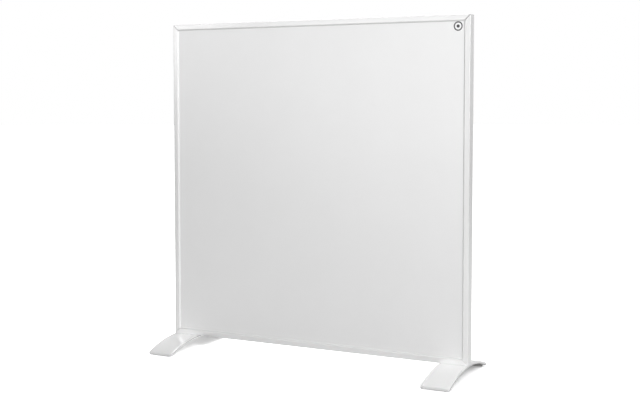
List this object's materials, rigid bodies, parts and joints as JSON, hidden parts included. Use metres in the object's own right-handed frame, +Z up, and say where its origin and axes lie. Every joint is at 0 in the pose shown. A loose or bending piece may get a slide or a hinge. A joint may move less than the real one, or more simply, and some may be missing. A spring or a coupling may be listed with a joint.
{
  "type": "infrared panel heater",
  "caption": "Free-standing square infrared panel heater: slim mitred frame, plain heating face, arched bar feet, rear connection box with a rocker switch.",
  "frame": {"origin": "on the floor under the middle of the panel, midway between the feet", "axes": "+Z up; -Y is the way the heating face looks; +X to the right for someone facing the heating face"},
  "size_m": [0.6, 0.2, 0.624],
  "materials": {
    "frame_paint": "satin",
    "face_paint": "satin",
    "sheet_paint": "satin",
    "foot_paint": "satin",
    "bare_aluminium": "satin",
    "zinc_steel": "satin",
    "copper_strip": "satin",
    "brass": "satin",
    "mica": "satin",
    "carbon_film": "matte",
    "mineral_board": "matte",
    "ceramic": "matte",
    "box_plastic": "satin",
    "black_plastic": "satin",
    "rocker_plastic": "gloss",
    "seal_rubber": "matte",
    "pad_rubber": "matte",
    "wire_brown": "satin",
    "wire_blue": "satin",
    "wire_green_yellow": "satin",
    "badge_print": "satin",
    "plate_metal": "satin"
  },
  "bodies": {
    "heater": {"frame_bottom": "frame_paint", "frame_top": "frame_paint", "frame_left": "frame_paint", "frame_right": "frame_paint", "corner_key_bottom_right": "bare_aluminium", "corner_key_bottom_left": "bare_aluminium", "corner_key_top_right": "bare_aluminium", "corner_key_top_left": "bare_aluminium", "corner_screws": "zinc_steel", "front_panel": "face_paint", "mica_front": "mica", "heating_film": "carbon_film", "bus_bar_left": "copper_strip", "bus_bar_right": "copper_strip", "mica_rear": "mica", "reflector_foil": "bare_aluminium", "insulation_board": "mineral_board", "back_panel": "sheet_paint", "wall_inserts": "zinc_steel", "cutout_cap": "bare_aluminium", "cutout_body": "ceramic", "cutout_tabs": "brass", "box_base": "box_plastic", "box_rivets": "bare_aluminium", "box_gasket": "seal_rubber", "box_cover": "box_plastic", "cover_screws": "zinc_steel", "wire_grommet": "seal_rubber", "earth_stud": "zinc_steel", "earth_ring": "brass", "earth_nut": "zinc_steel", "terminal_block": "ceramic", "terminal_sleeves": "brass", "terminal_screws": "zinc_steel", "gland_body": "black_plastic", "gland_seal": "seal_rubber", "gland_nut": "black_plastic", "gland_lock_nut": "black_plastic", "switch_housing": "black_plastic", "switch_tabs": "brass", "wire_terminal_to_switch": "wire_brown", "wire_switch_to_cutout": "wire_brown", "wire_cutout_to_bus": "wire_brown", "wire_neutral_to_bus": "wire_blue", "wire_earth": "wire_green_yellow", "badge": "badge_print", "rating_plate": "plate_metal", "foot_right": "foot_paint", "foot_left": "foot_paint", "foot_screws": "zinc_steel", "pad_front_right": "pad_rubber", "pad_rear_right": "pad_rubber", "pad_front_left": "pad_rubber", "pad_rear_left": "pad_rubber"},
    "rocker": {"rocker": "rocker_plastic"}
  },
  "joints": [
    {"name": "switch_rocker", "type": "hinge", "parent": "heater", "child": "rocker", "pos_m": [0.032, 0.0382, 0.116], "axis": [1, 0, 0], "range_deg": [0, 20]}
  ]
}
